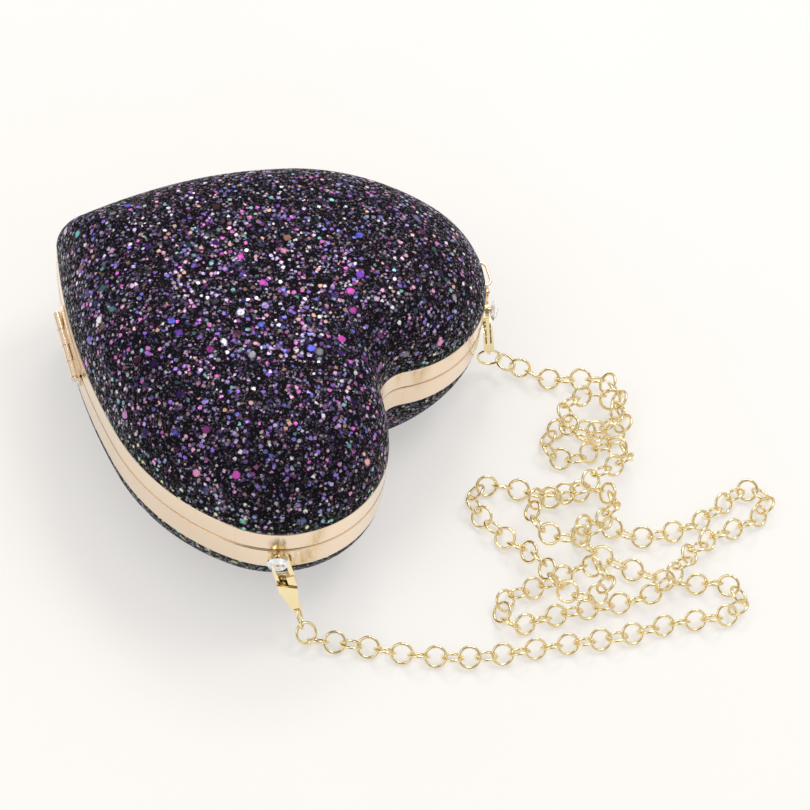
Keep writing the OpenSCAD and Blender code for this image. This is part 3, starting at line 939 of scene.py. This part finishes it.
    def close(self, bm: bmesh.types.BMesh, row: list[bmesh.types.BMVert], top: Vector) -> None:
        """Close a row with a fan of faces that meet at the crown.

        Args:
            bm: the geometry.
            row: vertices in order.
            top: the crown, in millimetres from the parting line.
        """
        tip = self.extrude(bm, row)
        self.move(tip, [top] * len(tip))
        bmesh.ops.remove_doubles(bm, verts=tip, dist=WELD)

    def place(self, material: bpy.types.Material) -> bpy.types.Object:
        """Args:
            material: the fabric's material.

        Returns:
            The fabric piece.
        """
        piece = self.build()
        dress(piece, material)
        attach(piece, self.body)
        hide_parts(self.node)
        return piece


@dataclass
class ChainStrap:
    """Chain of round links, laid over the ground between the two clasps.

    Its ends, points and lengths are in millimetres. Links lean to both sides in turn, in degrees with a
    little jitter, and lie flat over the first and last of them.
    """

    near_end: Place = (81.8, 72.46, 8.66)
    far_end: Place = (-64.7, 82.53, 7.88)
    points: tuple[tuple[int, int, int], ...] = (
        (84, 76, 5), (79, 86, 4), (75, 98, 4), (70, 113, 4), (59, 134, 4), (42, 155, 4), (25, 176, 4),
        (10, 191, 4), (2, 201, 4), (-6, 210, 4), (-15, 209, 4), (-16, 200, 4), (-9, 190, 4), (-6, 180, 4),
        (-4, 165, 4), (-4, 155, 4), (-7, 145, 4), (-15, 143, 4), (-18, 152, 4), (-18, 163, 4),
        (-26, 173, 4), (-37, 182, 4), (-50, 187, 4), (-60, 191, 4), (-61, 200, 4), (-50, 201, 4),
        (-32, 189, 5), (-18, 185, 9), (-6, 184, 12), (4, 180, 8), (10, 172, 4), (22, 158, 4), (33, 147, 4),
        (41, 139, 4), (34, 131, 4), (24, 137, 4), (16, 144, 4), (8, 149, 6), (5, 157, 11), (11, 164, 12),
        (20, 161, 12), (22, 151, 12), (17, 142, 12), (11, 134, 9), (8, 124, 4), (4, 112, 4), (0, 103, 4),
        (-9, 101, 4), (-14, 109, 4), (-17, 121, 4), (-20, 131, 4), (-28, 136, 4), (-31, 144, 5),
        (-27, 150, 9), (-18, 151, 12), (-8, 149, 12), (0, 143, 12), (2, 133, 12), (-4, 125, 12),
        (-12, 124, 12), (-17, 132, 12), (-24, 138, 12), (-34, 140, 12), (-43, 146, 11), (-52, 144, 7),
        (-50, 134, 4), (-40, 129, 4), (-36, 120, 4), (-44, 114, 4), (-53, 119, 4), (-54, 129, 4),
        (-59, 138, 4), (-69, 135, 6), (-68, 124, 10), (-58, 116, 12), (-49, 118, 12), (-46, 126, 12),
        (-52, 133, 12), (-61, 135, 13), (-71, 131, 13), (-77, 121, 7), (-73, 110, 4), (-68, 100, 4),
        (-68, 91, 5))
    link_r: float = 3.9
    wire_r: float = 0.6
    pitch: float = 6.3
    steps: int = 8
    ring_faces: int = 24
    wire_faces: int = 8
    lean: float = 45.0
    jitter: float = 8.0
    jitter_step: float = 137.0
    flat_links: float = 1.5
    nodes: tuple[str, ...] = ("strap_near_run", "strap_right_loops", "strap_left_loops", "strap_far_run")
    line: list[Vector] = field(default_factory=list)
    run: list[float] = field(default_factory=list)

    def lay(self) -> None:
        """Work out the smooth line through the points, and the length along it, in metres."""
        stops = [Vector(p) * MM for p in (self.near_end, *self.points, self.far_end)]
        self.line = []
        last = len(stops) - 1
        for i in range(last):
            a, b, c, d = stops[max(0, i - 1)], stops[i], stops[i + 1], stops[min(last, i + 2)]
            for k in range(self.steps):
                t = k / self.steps
                self.line.append(0.5 * (2 * b + (c - a) * t + (2 * a - 5 * b + 4 * c - d) * t ** 2
                                        + (3 * b - a - 3 * c + d) * t ** 3))
        self.line.append(stops[last])
        self.run = [0.0]
        for p, q in zip(self.line, self.line[1:]):
            self.run.append(self.run[-1] + (q - p).length)

    def at(self, distance: float) -> Vector:
        """Find the point at a distance along the line.

        Args:
            distance: metres from the near end.

        Returns:
            The point.
        """
        for i in range(len(self.run) - 1):
            if distance <= self.run[i + 1]:
                share = (distance - self.run[i]) / (self.run[i + 1] - self.run[i])
                return self.line[i].lerp(self.line[i + 1], share)
        return self.line[-1]

    def roll(self, i: int, count: int) -> float:
        """Lean of one link about the line: to both sides in turn, and flat at the clasps.

        Args:
            i: number of the link.
            count: number of links.

        Returns:
            The roll in degrees.
        """
        end_sign = -1 if count % 2 == 1 else 1
        return (self.lean + QUARTER_TURN * i + self.jitter * math.sin(math.radians(i * self.jitter_step))
                - self.lean * max(0.0, 1 - i / self.flat_links)
                + self.lean * end_sign * max(0.0, 1 - (count - 1 - i) / self.flat_links))

    def spin_link(self, bm: bmesh.types.BMesh) -> None:
        """Spin the wire's section into one link round the origin.

        Args:
            bm: an empty bmesh, which takes the link.
        """
        upright = Matrix.Rotation(math.radians(QUARTER_TURN), 4, "X")
        section = bmesh.ops.create_circle(
            bm, segments=self.wire_faces, radius=self.wire_r * MM,
            matrix=Matrix.Translation((self.link_r * MM, 0, 0)) @ upright)
        edges = list({edge for vert in section["verts"] for edge in vert.link_edges})
        bmesh.ops.spin(
            bm, geom=section["verts"] + edges, cent=(0, 0, 0), axis=(0, 0, 1), angle=math.radians(FULL_TURN),
            steps=self.ring_faces, use_merge=True, use_duplicate=False)
        bmesh.ops.recalc_face_normals(bm, faces=bm.faces)

    def build(self) -> bpy.types.Object:
        """Copy one link along the line.

        Returns:
            The chain.
        """
        self.lay()
        length = self.run[-1]
        count = math.ceil(length / (self.pitch * MM))
        bm = bmesh.new()
        self.spin_link(bm)
        link = list(bm.verts) + list(bm.edges) + list(bm.faces)
        for i in range(count):
            p, q = self.at(i * length / count), self.at((i + 1) * length / count)
            along = (q - p).normalized()
            turn = (Matrix.Rotation(math.atan2(along.y, along.x), 4, "Z")
                    @ Matrix.Rotation(-math.asin(along.z), 4, "Y")
                    @ Matrix.Rotation(math.radians(self.roll(i, count)), 4, "X"))
            copy = bmesh.ops.duplicate(bm, geom=link)["geom"]
            verts = [part for part in copy if isinstance(part, bmesh.types.BMVert)]
            bmesh.ops.transform(bm, matrix=Matrix.Translation((p + q) / 2) @ turn, verts=verts)
        first = [part for part in link if isinstance(part, bmesh.types.BMVert)]
        bmesh.ops.delete(bm, geom=first, context="VERTS")
        log.info("chain strap: %d links over %.3f m", count, length)
        return shown("chain_links", bm)

    def place(self, material: bpy.types.Material) -> bpy.types.Object:
        """Args:
            material: the plate of the links.

        Returns:
            The chain.
        """
        piece = self.build()
        dress(piece, material)
        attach(piece, "case_base")
        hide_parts(*self.nodes)
        return piece


@dataclass(frozen=True)
class Hardware:
    """CAD nodes that keep their shape and get a finish."""

    rose: tuple[str, ...] = ("base_frame", "lid_frame", "base_hinge_leaf", "lid_hinge_leaf", "hinge_pin",
                             "strap_studs", "catch_tab", "catch_loop")
    pale: tuple[str, ...] = ("near_clasp_body", "near_clasp_gate", "near_clasp_pin", "far_clasp_body",
                             "far_clasp_gate", "far_clasp_pin", "jump_rings")
    springs: tuple[str, ...] = ("near_clasp_spring", "far_clasp_spring")
    shells: tuple[str, ...] = ("base_shell", "lid_shell")
    glass: tuple[str, ...] = ("crystal_rings",)

    def dress(self, pale: bpy.types.Material) -> None:
        """Give each node its finish.

        Args:
            pale: the pale gold plate, shared with the strap.
        """
        finishes = (
            (self.rose, ROSE_GOLD.material()), (self.pale, pale), (self.springs, SPRING_WIRE.material()),
            (self.shells, MouldedPlastic().material()), (self.glass, CutGlass().material()),
        )
        for names, material in finishes:
            for name in names:
                dress(bpy.data.objects[name], material)
            log.info("dressed %s", ", ".join(names))


@dataclass(frozen=True)
class Lamp:
    """A square soft lamp: its place and side in metres, its power in watts."""

    name: str
    spot: Place
    size: float
    power: float
    colour: Colour

    def hang(self, aim: Vector) -> None:
        """Hang the lamp.

        Args:
            aim: the point that it faces, in metres.
        """
        light = bpy.data.lights.new(self.name, "AREA")
        light.size = self.size
        light.energy = self.power
        light.color = self.colour
        lamp = bpy.data.objects.new(self.name, light)
        lamp.location = self.spot
        lamp.rotation_euler = (aim - lamp.location).to_track_quat("-Z", "Y").to_euler()
        bpy.context.collection.objects.link(lamp)


@dataclass(frozen=True)
class Room:
    """Soft white light from all round. Metal mirrors a darker horizon and a dark patch where the camera is.

    A ray's closeness to the camera is the cosine of the angle between them, and its height the sine of its
    angle above the ground.
    """

    white: Colour = (1.0, 0.985, 0.965)
    dark: Colour = (0.16, 0.14, 0.11)
    strength: float = 0.77
    patch_edge: float = 0.82
    patch_core: float = 0.90
    patch_share: float = 0.85
    horizon_height: float = 0.05
    horizon_end: float = 0.4
    horizon_share: float = 0.7

    def build(self, back: Vector) -> bpy.types.World:
        """Build the world.

        Args:
            back: direction from the target to the camera.

        Returns:
            The world.
        """
        room = bpy.data.worlds.new("room")
        room.use_nodes = True
        tree = Tree(room.node_tree)
        incoming = tree.add("ShaderNodeNewGeometry").outputs["Incoming"]
        close = tree.vectors("DOT_PRODUCT", incoming, -back, result="Value")
        patch = tree.fade(close, self.patch_edge, self.patch_core, 0.0, self.patch_share)
        downwards = tree.add("ShaderNodeSeparateXYZ", {"Vector": incoming}).outputs["Z"]
        horizon = tree.fade(downwards, -self.horizon_height, -self.horizon_end, self.horizon_share, 0.0)
        mirrored = tree.add("ShaderNodeLightPath").outputs["Is Glossy Ray"]
        dark = tree.maths("MULTIPLY", tree.maths("MAXIMUM", patch, horizon), mirrored)
        light = room.node_tree.nodes["Background"]
        tree.feed(light.inputs["Color"], tree.mix(dark, self.white, self.dark))
        tree.feed(light.inputs["Strength"], self.strength)
        return room


@dataclass(frozen=True)
class Studio:
    """Camera at the photograph's angle, a pale floor and soft light.

    The target, distance and sensor are in millimetres, the angles in degrees, the focal length and the frame
    in pixels, and the rest is in metres.
    """

    target: Place = (-3.85, 68.38, SEAM)
    turn: float = 109.48
    rise: float = 54.23
    roll: float = 8.69
    distance: float = 1146.69
    focal_px: float = 3063.1
    frame_px: float = 810.0
    sensor: float = 36.0
    far_clip: float = 50.0
    floor_size: float = 6.0
    lamp_aim: Place = (0.0, 0.06, 0.03)
    lamps: tuple[Lamp, ...] = (
        Lamp("key", (-0.75, 0.45, 1.6), 0.6, 6.5, (1.0, 0.98, 0.95)),
        Lamp("window", (-1.0, -0.36, 1.46), 0.45, 5.0, (1.0, 0.96, 0.90)),
        Lamp("fill", (1.0, -0.5, 1.3), 1.0, 4.0, (1.0, 0.97, 0.93)),
    )

    def back(self) -> Vector:
        """Direction from the target to the camera."""
        turn, rise = math.radians(self.turn), math.radians(self.rise)
        return Vector((math.sin(turn) * math.cos(rise), -math.cos(turn) * math.cos(rise), math.sin(rise)))

    def camera(self) -> None:
        """Make the camera and point it at the target."""
        turn, roll, back = math.radians(self.turn), math.radians(self.roll), self.back()
        across = Vector((math.cos(turn), math.sin(turn), 0))
        up = back.cross(across)
        right = across * math.cos(roll) + up * math.sin(roll)
        top = up * math.cos(roll) - across * math.sin(roll)
        lens = bpy.data.cameras.new("camera")
        lens.lens = self.focal_px / self.frame_px * self.sensor
        lens.sensor_width = self.sensor
        lens.clip_end = self.far_clip
        eye = bpy.data.objects.new("camera", lens)
        spot = Vector(self.target) * MM + back * self.distance * MM
        eye.matrix_world = Matrix.Translation(spot) @ Matrix((right, top, back)).transposed().to_4x4()
        bpy.context.collection.objects.link(eye)
        bpy.context.scene.camera = eye

    def floor(self) -> None:
        """Lay the pale floor under the purse."""
        bm = bmesh.new()
        bmesh.ops.create_grid(bm, x_segments=1, y_segments=1, size=self.floor_size / 2)
        ground = shown("floor", bm)
        dress(ground, PaleFloor().material())

    def build(self) -> None:
        """Set up everything round the purse."""
        bpy.context.scene.view_settings.view_transform = "Standard"
        self.floor()
        bpy.context.scene.world = Room().build(self.back())
        for lamp in self.lamps:
            lamp.hang(Vector(self.lamp_aim))
        log.info("studio set")


def main() -> None:
    """Build the purse and its surroundings in order."""
    logging.basicConfig(level=logging.INFO, format="%(message)s")
    studio = Studio()
    studio.camera()
    pale = PALE_GOLD.material()
    ChainStrap().place(pale)
    glitter, satin = GlitterFabric().material(), Satin().material()
    sheets = (
        DomeSheet("lid_glitter", "lid_cover", "lid_shell", "lid", Slot.GLITTER, COVER, below=False),
        DomeSheet("base_glitter", "base_cover", "base_shell", "case_base", Slot.GLITTER, COVER, below=True),
        DomeSheet("lid_satin", "lid_lining", "lid_shell", "lid", Slot.LINING, LINER, below=False),
        DomeSheet("base_satin", "base_lining", "base_shell", "case_base", Slot.LINING, LINER, below=True),
    )
    for sheet in sheets:
        sheet.place(glitter if sheet.slot is Slot.GLITTER else satin)
        log.info("fabric %s", sheet.name)
    Hardware().dress(pale)
    studio.build()


if __name__ == "__main__":
    main()
